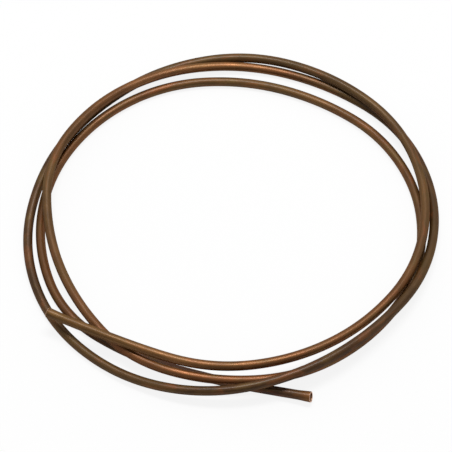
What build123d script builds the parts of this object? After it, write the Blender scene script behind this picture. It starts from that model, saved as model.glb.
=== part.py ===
"""A loose coil of soft copper tube: one length of round tube, a little over three turns, hand coiled.

Millimetres, +Z up. The origin is the middle of the coil, on the surface that it lies on.
"""

import os
from math import cos, radians, sin, tan

from build123d import *

# The tube
tube_diameter = 6.35
tube_wall = 0.76

# The coil, measured on the tube's centreline
coil_diameter = 260.0
start_bearing = 213.5

# Strands that touch in the real coil are this far apart
strand_clearance = 0.25

# A bend takes up this share of the shorter of its two runs
bend_share = 0.48

# The route of each turn, from the upper end down: (lane, layer) at equal steps of bearing.
# A lane of 1 is one strand further out than the coil's mean diameter.
# A layer of 0 lies on the floor, and a layer of 1 lies on one strand.
first_turn = [
    (1.5, 1.95), (-1.5, 2), (-1.5, 2), (-1.75, 1.5), (-1.4, 1.1), (-0.2, 1), (0.6, 1),
    (1.15, 1), (0.7, 1), (1.1, 0.3), (0.75, 0), (0, 0.25), (0.1, 0.75), (1.1, 0.1),
]
second_turn = [
    (1.55, 0), (1.25, 0), (1, 1.2), (0.35, 2), (-0.1, 1.6), (1, 0.8), (1.5, 0.05),
    (1.4, 0), (0.15, 0), (-0.05, 0.05), (-0.25, 0.85), (-0.1, 1.25), (-0.3, 1.7), (-1.5, 1.1),
]
third_turn = [
    (-1.6, 1), (-0.6, 1), (-0.4, 1.35), (-0.15, 0.6), (-0.2, 0), (0.2, 0), (-0.05, 0),
    (-0.8, 0), (-2, 0), (-2.1, 0), (-1.55, 0), (-1, 0), (-0.6, 0), (-0.3, 0),
]
# The tail goes on past the third turn: (steps of bearing, lane, layer)
tail = [(0, -0.1, 0), (1, -1.35, 0), (2, -1.5, 0), (2.5, -0.45, 0), (3, 2.05, 0.25)]

# The rims of the two sawn ends
rim_chamfer = 0.2

strand_pitch = tube_diameter + strand_clearance
bearing_step = 360 / len(first_turn)


def corner(step, lane, layer):
    """A corner of the route. It stands outside its lane, because the bend passes inside it."""
    bearing = radians(start_bearing + step * bearing_step)
    reach = (coil_diameter / 2 + lane * strand_pitch) / cos(radians(bearing_step / 2))
    height = tube_diameter / 2 + layer * strand_pitch
    return Vector(reach * cos(bearing), reach * sin(bearing), height)


def bend_radius(before, here, after):
    """The largest bend at a corner that leaves room for the bends beside it."""
    turn = (here - before).get_angle(after - here)
    shorter_run = min((here - before).length, (after - here).length)
    return bend_share * shorter_run / tan(radians(turn / 2))


def coil_corners():
    """The corners of the whole route, from the upper end to the lower one."""
    turns = first_turn + second_turn + third_turn
    corners = [corner(step, lane, layer) for step, (lane, layer) in enumerate(turns)]
    return corners + [corner(len(turns) + step, lane, layer) for step, lane, layer in tail]


# The copper tube: a ring section swept along straight runs that tangent bends join
corners = coil_corners()
bends = [bend_radius(*three) for three in zip(corners, corners[1:], corners[2:])]

with BuildPart() as copper_tube:
    with BuildLine() as centreline:
        FilletPolyline(*corners, radius=bends)
    route_wire = centreline.wire()
    with BuildSketch(Plane(origin=route_wire @ 0, z_dir=route_wire % 0)):
        Circle(tube_diameter / 2)
        Circle(tube_diameter / 2 - tube_wall, mode=Mode.SUBTRACT)
    sweep(path=route_wire)
    cut_faces = copper_tube.faces().filter_by(GeomType.PLANE)
    outer_rims = [rim for cut in cut_faces for rim in cut.outer_wire().edges()]
    chamfer(outer_rims, length=rim_chamfer)
copper_tube.part.label = "copper_tube"

print(f"centreline {route_wire.length:.1f} mm, bends from {min(bends):.0f} to {max(bends):.0f} mm radius")

os.makedirs("parts", exist_ok=True)
export_step(copper_tube.part, "parts/copper_tube.step")
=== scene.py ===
"""A loose coil of soft copper tube, tarnished brown, lying on a pale floor.

Metres, +Z up. The origin is the middle of the coil, on the floor.
"""

import random
from math import cos, pi, radians, sin, sqrt, tau

import bpy
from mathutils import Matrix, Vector, noise


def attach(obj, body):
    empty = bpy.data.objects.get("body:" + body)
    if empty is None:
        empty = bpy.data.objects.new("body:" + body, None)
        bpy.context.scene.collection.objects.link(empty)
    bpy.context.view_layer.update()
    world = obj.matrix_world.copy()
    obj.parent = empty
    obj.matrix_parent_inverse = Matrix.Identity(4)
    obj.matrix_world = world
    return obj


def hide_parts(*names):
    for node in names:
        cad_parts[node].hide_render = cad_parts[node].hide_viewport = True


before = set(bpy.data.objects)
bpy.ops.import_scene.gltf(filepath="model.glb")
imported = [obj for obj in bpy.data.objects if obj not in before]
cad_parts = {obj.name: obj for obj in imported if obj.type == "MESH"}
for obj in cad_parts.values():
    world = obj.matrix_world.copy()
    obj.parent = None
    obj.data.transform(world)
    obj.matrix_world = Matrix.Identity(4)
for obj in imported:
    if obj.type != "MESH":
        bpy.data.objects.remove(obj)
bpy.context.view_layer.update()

# The tube
tube_diameter = 0.00635
tube_wall = 0.00076

# The coil, measured on the tube's centreline
coil_diameter = 0.260
start_bearing = 213.5
strand_clearance = 0.00025

# The route of each turn, from the upper end down: (lane, layer) at equal steps of bearing.
# A lane of 1 is one strand further out than the coil's mean diameter.
# A layer of 0 lies on the floor, and a layer of 1 lies on one strand.
first_turn = [
    (1.5, 1.95), (-1.43, 2), (-1.47, 1.99), (-1.75, 1.5), (-1.33, 1.1), (-0.15, 1), (0.6, 1),
    (1.08, 1), (0.7, 1), (1.1, 0.3), (0.6, 0), (-0.1, 0.15), (0.08, 0.95), (1.1, 0.1),
]
second_turn = [
    (1.55, 0), (1.25, 0), (1, 1.2), (0.3, 2), (0, 1.6), (1, 0.8), (1.5, 0.05),
    (1.4, 0), (0.15, 0), (-0.05, 0.05), (-0.3, 0.85), (-0.36, 1.5), (-0.3, 1.7), (-1.5, 1.1),
]
third_turn = [
    (-1.6, 1), (-0.6, 1), (-0.4, 1.35), (-0.2, 0.6), (-0.26, 0), (0.2, 0), (-0.05, 0),
    (-0.8, 0), (-2, 0), (-2.1, 0), (-1.5, 0), (-1.05, 0), (-0.58, 0), (-0.3, 0),
]
# The tail goes on past the third turn: (steps of bearing, lane, layer)
tail = [(0, 0, 0), (1, -1.42, 0), (2, -1.5, 0), (2.5, -0.45, 0), (3.025, 2.05, 0.32)]

# The two cut ends. A bell is a share of the tube's radius, and the slant is the tangent of its angle.
rim_rounding = 0.00022
bell_length = 0.010
upper_bell = 0.10
lower_bell = 0.14
lower_slant = 0.16

# The slightly oval section: how much, how fast it changes along the tube, and where its noise is read
oval_share = 0.006
oval_waves = 9
oval_row = Vector((0, 3.1, 0))
lean_waves = 4
lean_row = Vector((0, 0, 8.2))

# The dents: the stretch of tube that has them, their depth, and how far each reaches along the tube
dent_seed = 7
dent_count = 26
dented_stretch = (0.05, 2.55)
dent_depths = (0.00004, 0.00013)
dent_reaches = (0.003, 0.008)

# The fineness of the tube's mesh
curve_steps = 40
sides = 32
ring_spacing = 0.0015
bore_ring_spacing = 0.006
rim_rings = 4

# The colours of the tarnish, and of the painted shade and painted highlight along the tube
brown = (0.138, 0.055, 0.015)
golden = (0.160, 0.067, 0.019)
ochre = (0.130, 0.062, 0.016)
olive = (0.110, 0.056, 0.017)
dusky = (0.088, 0.046, 0.0145)
dark = (0.066, 0.030, 0.0095)
umber = (0.046, 0.016, 0.006)
red = (0.165, 0.061, 0.018)
bright = (0.215, 0.092, 0.030)
red_spots = (0.21, 0.066, 0.018)
olive_spots = (0.115, 0.068, 0.018)
oxide_edge = (0.62, 0.46, 0.36)

# How the colour changes along the tube, from the upper end: (distance, colour, gloss).
# Its darker and brighter stretches are partly the tube's own tarnish and partly painted shade
# and painted highlight.
# The gloss is taken off the roughness.
tarnish_and_painted_light = [
    (0, ochre, 0), (0.05, ochre, 0.08), (0.10, golden, 0.12), (0.16, brown, 0.16),
    (0.24, brown, 0.12), (0.36, olive, 0.06), (0.46, dusky, 0), (0.62, dusky, 0),
    (0.70, dark, 0), (0.79, dark, 0), (0.87, olive, 0), (0.96, dark, 0),
    (1.06, dark, 0), (1.14, olive, 0.02), (1.23, dark, 0), (1.31, dusky, 0.02),
    (1.35, brown, 0.16), (1.41, bright, 0.14), (1.48, brown, 0.08), (1.56, olive, 0),
    (1.67, brown, 0.02), (1.75, red, 0.13), (1.84, red, 0.12), (1.95, dusky, 0),
    (2.05, brown, 0), (2.14, olive, 0), (2.27, brown, 0.10), (2.40, brown, 0),
    (2.52, umber, 0), (2.606, umber, 0), (2.614, dusky, 0), (2.62, golden, 0.04),
]

# The bare copper of the cut ends
shaded_copper = (0.50, 0.28, 0.18)
clean_copper = (0.74, 0.48, 0.35)

# How far the copper stands out where the bumps have a height of 1
bump_height = 0.00005

# The floor, and how white each kind of ray sees it
floor_size = 12.0
floor_grey = 0.86
floor_whiteness = {"Is Camera Ray": 0.86, "Is Glossy Ray": 0.4}

# The light
lamp_place = Vector((0, 0.50, 2.12))
lamp_aim = Vector((0, 0, 0))
lamp_width = 1.3
lamp_depth = 0.45
lamp_watts = 29
surround_before = 0.25
surround_behind = 0.9

# The camera. The lens is given in pixels of the photograph, and the sensor in millimetres.
camera_elevation = 57.0
camera_distance = 2.0
camera_aim = Vector((-0.0021, -0.0048, 0.006))
picture_width = 452
focal_pixels = 2960.0
sensor_width = 36.0
farthest_seen = 20

strand_pitch = tube_diameter + strand_clearance
bearing_step = 360 / len(first_turn)
outer_radius = tube_diameter / 2


def corner(step, lane, layer):
    """A corner of the route. It stands outside its lane, because the bend passes inside it."""
    bearing = radians(start_bearing + step * bearing_step)
    reach = (coil_diameter / 2 + lane * strand_pitch) / cos(radians(bearing_step / 2))
    return Vector((reach * cos(bearing), reach * sin(bearing), outer_radius + layer * strand_pitch))


def coil_corners():
    """The corners of the whole route, from the upper end to the lower one."""
    turns = first_turn + second_turn + third_turn
    corners = [corner(step, lane, layer) for step, (lane, layer) in enumerate(turns)]
    return corners + [corner(len(turns) + step, lane, layer) for step, lane, layer in tail]


def spline_points(corners):
    """Points along the smooth curve whose control points are the corners."""
    curve = bpy.data.curves.new("centreline", "CURVE")
    curve.dimensions = "3D"
    spline = curve.splines.new("NURBS")
    spline.points.add(len(corners) - 1)
    for point, place in zip(spline.points, corners):
        point.co = (*place, 1)
    spline.order_u = 3
    spline.use_endpoint_u = True
    spline.resolution_u = curve_steps
    holder = bpy.data.objects.new("centreline", curve)
    mesh = bpy.data.meshes.new_from_object(holder)
    points = [vertex.co.copy() for vertex in mesh.vertices]
    bpy.data.objects.remove(holder)
    bpy.data.curves.remove(curve)
    bpy.data.meshes.remove(mesh)
    return points


class Centreline:
    """The tube's centreline by its length, with a side direction that never twists."""

    def __init__(self, points):
        self.points = points
        self.along = [0.0]
        for before, here in zip(points, points[1:]):
            self.along.append(self.along[-1] + (here - before).length)
        self.length = self.along[-1]
        self.ahead = []
        for index in range(len(points)):
            before = points[max(index - 1, 0)]
            after = points[min(index + 1, len(points) - 1)]
            self.ahead.append((after - before).normalized())
        self.side = [self.ahead[0].cross(Vector((0, 0, 1))).normalized()]
        for ahead in self.ahead[1:]:
            carried = self.side[-1] - ahead * self.side[-1].dot(ahead)
            self.side.append(carried.normalized())
        self.index = 0

    def at(self, distance):
        """The place, the direction and the side direction at a distance from the upper end."""
        while self.index > 0 and self.along[self.index] > distance:
            self.index -= 1
        while self.index < len(self.along) - 2 and self.along[self.index + 1] < distance:
            self.index += 1
        start, end = self.along[self.index], self.along[self.index + 1]
        share = (distance - start) / (end - start)
        place = self.points[self.index].lerp(self.points[self.index + 1], share)
        ahead = self.ahead[self.index].lerp(self.ahead[self.index + 1], share).normalized()
        side = self.side[self.index].lerp(self.side[self.index + 1], share)
        side = (side - ahead * side.dot(ahead)).normalized()
        return place, ahead, side


def bell(distance, length):
    """How much wider the tube is near its two cut ends, as a share of its radius."""
    widening = 0
    for from_end, share in ((distance, upper_bell), (length - distance, lower_bell)):
        rest = max(0.0, 1 - from_end / bell_length)
        widening += share * rest * rest * (3 - 2 * rest)
    return widening


def slant(distance, length):
    """How much a ring leans back near the lower end, whose cut is not quite square."""
    rest = max(0.0, 1 - (length - distance) / bell_length)
    return lower_slant * rest * rest


def rim_drop(distance, length):
    """How far the rounded rim of a cut end stands in from the tube's surface."""
    rest = max(0.0, rim_rounding - min(distance, length - distance))
    return rim_rounding - sqrt(rim_rounding ** 2 - rest ** 2)


def wander(distance, waves, row):
    """Smooth noise along the tube, from -1 to 1. Each use reads a row of its own."""
    return noise.noise(Vector((distance * waves, 0, 0)) + row)


def oval(distance, angle):
    """How much the slightly oval section stands in at an angle around the tube."""
    depth = oval_share * (1 + wander(distance, oval_waves, oval_row)) * outer_radius
    lean = tau * wander(distance, lean_waves, lean_row)
    return depth * (0.5 + 0.5 * cos(2 * (angle - lean)))


def dents():
    """Shallow marks of handling: where along the tube, how deep, how far they reach, on which side."""
    random.seed(dent_seed)
    marks = []
    for _ in range(dent_count):
        distance = random.uniform(*dented_stretch)
        depth = random.uniform(*dent_depths)
        reach = random.uniform(*dent_reaches)
        marks.append((distance, depth, reach, random.uniform(0, tau)))
    return marks


def ring_distances(length, spacing):
    """Where the rings of vertices stand: close together on both rims, evenly spaced between them."""
    rim = [rim_rounding * (1 - cos(pi / 2 * ring / rim_rings)) for ring in range(rim_rings + 1)]
    count = round(length / spacing)
    middle = [length * ring / count for ring in range(1, count)]
    return rim + middle + [length - distance for distance in reversed(rim)]


def tube_rings(centreline, distances, radius_at):
    """One ring of vertices at each distance.

    Each vertex also has its place on the straightened tube and the direction around the tube there.
    """
    places, straight, around = [], [], []
    for distance in distances:
        place, ahead, side = centreline.at(distance)
        up = side.cross(ahead)
        lean = slant(distance, centreline.length)
        for step in range(sides):
            angle = tau * step / sides
            radius = radius_at(distance, angle)
            out = (side * cos(angle) + up * sin(angle)) * radius
            places.append(place + out - ahead * out.z * lean)
            straight.append((radius * cos(angle), radius * sin(angle), distance))
            around.append(up * cos(angle) - side * sin(angle))
    return places, straight, around


def keep_vectors(mesh, name, vectors):
    """Keep one vector for each vertex, for the material to read."""
    kept = mesh.attributes.new(name, "FLOAT_VECTOR", "POINT")
    kept.data.foreach_set("vector", [value for vector in vectors for value in vector])


def tube_mesh(centreline):
    """The hollow tube as one closed surface: outside, bore and two cut faces."""
    length = centreline.length
    marks = dents()

    def outside(distance, angle):
        """The radius of the outside, with the oval and the dents."""
        radius = outer_radius * (1 + bell(distance, length)) - rim_drop(distance, length)
        radius -= oval(distance, angle)
        for centre, depth, reach, facing in marks:
            off = (distance - centre) / reach
            if abs(off) < 1:
                turn = max(0.0, cos(angle - facing))
                radius -= depth * (1 - off * off) ** 2 * turn ** 4
        return radius

    def inside(distance, angle):
        """The radius of the bore, the same at every angle. Its rim is half as rounded."""
        radius = outer_radius * (1 + bell(distance, length)) - tube_wall
        return radius + 0.5 * rim_drop(distance, length)

    outer_distances = ring_distances(length, ring_spacing)
    bore_distances = list(reversed(ring_distances(length, bore_ring_spacing)))
    outer, outer_straight, outer_around = tube_rings(centreline, outer_distances, outside)
    bore, bore_straight, bore_around = tube_rings(centreline, bore_distances, inside)
    rings = len(outer_distances) + len(bore_distances)
    lower_cut, upper_cut = len(outer_distances) - 1, rings - 1

    # The second material, the bare copper, is on both cut faces and on the rims beside them
    faces, materials = [], []
    for ring in range(rings):
        following = (ring + 1) % rings
        from_cut = min(abs(ring - lower_cut), upper_cut - ring, ring + 1)
        materials += [1 if from_cut <= rim_rings else 0] * sides
        for step in range(sides):
            beside = (step + 1) % sides
            faces.append((
                ring * sides + step, ring * sides + beside,
                following * sides + beside, following * sides + step,
            ))
    mesh = bpy.data.meshes.new("copper_tube_skin")
    mesh.from_pydata(outer + bore, [], faces)
    keep_vectors(mesh, "straight_tube", outer_straight + bore_straight)
    keep_vectors(mesh, "around_tube", outer_around + bore_around)
    mesh.polygons.foreach_set("use_smooth", [True] * len(faces))
    mesh.polygons.foreach_set("material_index", materials)
    mesh.update()
    return mesh


class Nodes:
    """A short way to write a material's nodes."""

    def __init__(self, name):
        self.material = bpy.data.materials.new(name)
        self.material.use_nodes = True
        self.tree = self.material.node_tree
        self.shader = self.tree.nodes["Principled BSDF"]

    def set(self, values):
        """Set sockets of the shader to values that are the same all over the surface."""
        for name, value in values.items():
            self.shader.inputs[name].default_value = value

    def link(self, output, name):
        """Connect a node's output to a socket of the shader."""
        self.tree.links.new(output, self.shader.inputs[name])

    def add(self, kind, inputs=None, **settings):
        """A new node. Each input is a value or the output of another node."""
        node = self.tree.nodes.new(kind)
        for key, value in settings.items():
            setattr(node, key, value)
        for key, value in (inputs or {}).items():
            if isinstance(value, bpy.types.NodeSocket):
                self.tree.links.new(value, node.inputs[key])
            else:
                node.inputs[key].default_value = value
        return node

    def math(self, operation, first, second):
        """One calculation with two values."""
        return self.add("ShaderNodeMath", {0: first, 1: second}, operation=operation).outputs["Value"]

    def straight(self, around, along):
        """Where a point lies on the straightened tube, scaled across and along it."""
        place = self.add("ShaderNodeAttribute", attribute_name="straight_tube")
        return self.add(
            "ShaderNodeMapping",
            {"Vector": place.outputs["Vector"], "Scale": (around, around, along)},
        ).outputs["Vector"]

    def noise(self, around, along, detail=3.0, roughness=0.5, distortion=0.0):
        """Noise whose patches are 1/around metres across the tube and 1/along metres long."""
        return self.add(
            "ShaderNodeTexNoise",
            {
                "Vector": self.straight(around, along),
                "Scale": 1.0,
                "Detail": detail,
                "Roughness": roughness,
                "Distortion": distortion,
            },
        ).outputs["Fac"]

    def spread(self, value, low, high, to_low=0.0, to_high=1.0):
        """The value from low to high, stretched to another range."""
        return self.add(
            "ShaderNodeMapRange",
            {
                "Value": value,
                "From Min": low,
                "From Max": high,
                "To Min": to_low,
                "To Max": to_high,
            },
        ).outputs["Result"]

    def mix(self, share, first, second, blend="MIX"):
        """One colour over another. Each is an output or three numbers."""
        node = self.add("ShaderNodeMix", data_type="RGBA", blend_type=blend)
        # Of a mix's inputs, 0 is the share, and 6 and 7 are the two colours
        sockets = (node.inputs[0], node.inputs[6], node.inputs[7])
        for socket, value in zip(sockets, (share, first, second)):
            if isinstance(value, bpy.types.NodeSocket):
                self.tree.links.new(value, socket)
            elif isinstance(value, tuple):
                socket.default_value = (*value, 1)
            else:
                socket.default_value = value
        return node.outputs[2]

    def ramp(self, stops):
        """A colour that changes along the tube, from stops of (distance, colour)."""
        place = self.add("ShaderNodeSeparateXYZ", {"Vector": self.straight(1, 1)})
        share = self.spread(place.outputs["Z"], 0, stops[-1][0])
        node = self.add("ShaderNodeValToRGB", {"Fac": share})
        elements = node.color_ramp.elements
        while len(elements) < len(stops):
            elements.new(0.5)
        for element, (distance, colour) in zip(elements, stops):
            element.position = distance / stops[-1][0]
            element.color = (*colour, 1)
        return node.outputs["Color"]

    def bump(self, height, strength):
        """Raise the surface a little where the height is great."""
        values = {"Height": height, "Strength": strength, "Distance": bump_height}
        self.link(self.add("ShaderNodeBump", values).outputs["Normal"], "Normal")

    def whiten(self, whiteness):
        """Show each kind of ray a share of plain white over the material."""
        path = self.add("ShaderNodeLightPath")
        seen = 0.0
        for ray, share in whiteness.items():
            seen = self.math("MAXIMUM", self.math("MULTIPLY", path.outputs[ray], share), seen)
        white = self.add("ShaderNodeEmission", {"Color": (1, 1, 1, 1), "Strength": 1.0})
        layers = {0: seen, 1: self.shader.outputs["BSDF"], 2: white.outputs["Emission"]}
        mixed = self.add("ShaderNodeMixShader", layers)
        surface = self.tree.nodes["Material Output"].inputs["Surface"]
        self.tree.links.new(mixed.outputs["Shader"], surface)


def tarnished_copper():
    """Old drawn copper: brown oxide that changes along the tube, red and olive spots, draw lines.
    Some stretches along the tube are also painted darker as shade, and brighter as highlight.

    Draw lines stretch the highlights across the tube, so the tangent follows the way around it.
    """
    made = Nodes("tarnished_copper")
    made.set({
        "Metallic": 0.9,
        "Specular Tint": (*oxide_edge, 1),
        "Coat Weight": 0.10,
        "Coat IOR": 2.4,
        "Coat Roughness": 0.3,
        "Anisotropic": 0.7,
    })
    tangent = made.add("ShaderNodeAttribute", attribute_name="around_tube")
    made.link(tangent.outputs["Vector"], "Tangent")

    # Colour along the tube: partly tarnish, partly painted shade and painted highlight
    stretch_colour = made.ramp([(distance, colour) for distance, colour, _ in tarnish_and_painted_light])
    stretch_gloss = made.ramp([(distance, (gloss, gloss, gloss)) for distance, _, gloss in tarnish_and_painted_light])

    patches = made.noise(around=160, along=40, detail=4, roughness=0.6, distortion=0.5)
    patches = made.spread(patches, 0.32, 0.68, to_low=0.72, to_high=1.28)
    colour = made.mix(1.0, stretch_colour, patches, "MULTIPLY")
    red_share = made.noise(around=190, along=55, detail=3, roughness=0.6, distortion=0.6)
    red_share = made.spread(red_share, 0.52, 0.72, to_low=0, to_high=0.6)
    colour = made.mix(red_share, colour, red_spots)
    olive_share = made.noise(around=230, along=60, detail=3, roughness=0.6, distortion=0.5)
    olive_share = made.spread(olive_share, 0.52, 0.72, to_low=0, to_high=0.7)
    colour = made.mix(olive_share, colour, olive_spots)
    streaks = made.noise(around=2600, along=30, detail=2)
    streaks = made.spread(streaks, 0.3, 0.7, to_low=0.85, to_high=1.15)
    colour = made.mix(1.0, colour, streaks, "MULTIPLY")
    made.link(colour, "Base Color")

    worn = made.noise(around=260, along=70, detail=4, roughness=0.6)
    rough = made.spread(worn, 0.3, 0.7, to_low=0.62, to_high=0.46)
    made.link(made.math("SUBTRACT", rough, stretch_gloss), "Roughness")

    draw_lines = made.noise(around=4200, along=22, detail=2)
    pits = made.spread(made.noise(around=700, along=500), 0, 1, to_low=0, to_high=0.25)
    made.bump(made.math("ADD", draw_lines, pits), strength=0.15)
    return made.material


def cut_copper():
    """The cut end faces and their rims: bare copper, lightly scored."""
    made = Nodes("cut_copper")
    made.set({"Metallic": 1.0})
    shade = made.spread(made.noise(around=900, along=900, roughness=0.6), 0.3, 0.7)
    made.link(made.mix(shade, shaded_copper, clean_copper), "Base Color")
    scores = made.noise(around=1500, along=1500, detail=2)
    made.link(made.spread(scores, 0.3, 0.7, to_low=0.3, to_high=0.5), "Roughness")
    made.bump(made.noise(around=2500, along=2500, detail=2), strength=0.3)
    return made.material


def copper_tube():
    """The tube itself, in place of its plain solid."""
    centreline = Centreline(spline_points(coil_corners()))
    mesh = tube_mesh(centreline)
    mesh.materials.append(tarnished_copper())
    mesh.materials.append(cut_copper())
    tube = bpy.data.objects.new("copper_tube_skin", mesh)
    bpy.context.scene.collection.objects.link(tube)
    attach(tube, "root")
    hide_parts("copper_tube")


def floor():
    """A plain pale floor. Camera and copper see a share of plain white over it, so shadows are faint."""
    edge = floor_size / 2
    corners = [(-edge, -edge, 0), (edge, -edge, 0), (edge, edge, 0), (-edge, edge, 0)]
    mesh = bpy.data.meshes.new("floor")
    mesh.from_pydata(corners, [], [(0, 1, 2, 3)])
    made = Nodes("pale_floor")
    made.set({
        "Base Color": (floor_grey, floor_grey, floor_grey, 1),
        "Roughness": 0.9,
        "Specular IOR Level": 0.1,
    })
    made.whiten(floor_whiteness)
    mesh.materials.append(made.material)
    ground = bpy.data.objects.new("floor", mesh)
    bpy.context.scene.collection.objects.link(ground)


def overhead_lamp():
    """A soft rectangular lamp above the coil and a little behind it."""
    light = bpy.data.lights.new("overhead_lamp", "AREA")
    light.shape = "RECTANGLE"
    light.size = lamp_width
    light.size_y = lamp_depth
    light.energy = lamp_watts
    holder = bpy.data.objects.new("overhead_lamp", light)
    holder.location = lamp_place
    holder.rotation_euler = (lamp_aim - lamp_place).to_track_quat("-Z", "Y").to_euler()
    bpy.context.scene.collection.objects.link(holder)


def surround():
    """A white surround that is brighter behind the coil than before it."""
    world = bpy.data.worlds.new("surround")
    world.use_nodes = True
    tree = world.node_tree
    direction = tree.nodes.new("ShaderNodeTexCoord")
    parts = tree.nodes.new("ShaderNodeSeparateXYZ")
    strength = tree.nodes.new("ShaderNodeMapRange")
    strength.inputs["From Min"].default_value = -1
    strength.inputs["From Max"].default_value = 1
    strength.inputs["To Min"].default_value = surround_before
    strength.inputs["To Max"].default_value = surround_behind
    tree.links.new(direction.outputs["Generated"], parts.inputs["Vector"])
    tree.links.new(parts.outputs["Y"], strength.inputs["Value"])
    tree.links.new(strength.outputs["Result"], tree.nodes["Background"].inputs["Strength"])
    tree.nodes["Background"].inputs["Color"].default_value = (1, 1, 1, 1)
    bpy.context.scene.world = world


def camera():
    """The photograph's view: a long lens that looks down on the coil."""
    data = bpy.data.cameras.new("camera")
    data.sensor_width = sensor_width
    data.lens = sensor_width * focal_pixels / picture_width
    data.clip_end = farthest_seen
    elevation = radians(camera_elevation)
    holder = bpy.data.objects.new("camera", data)
    holder.location = camera_aim + camera_distance * Vector((0, -cos(elevation), sin(elevation)))
    holder.rotation_euler = (pi / 2 - elevation, 0, 0)
    bpy.context.scene.collection.objects.link(holder)
    bpy.context.scene.camera = holder


copper_tube()
floor()
overhead_lamp()
surround()
camera()
bpy.context.scene.view_settings.view_transform = "Standard"
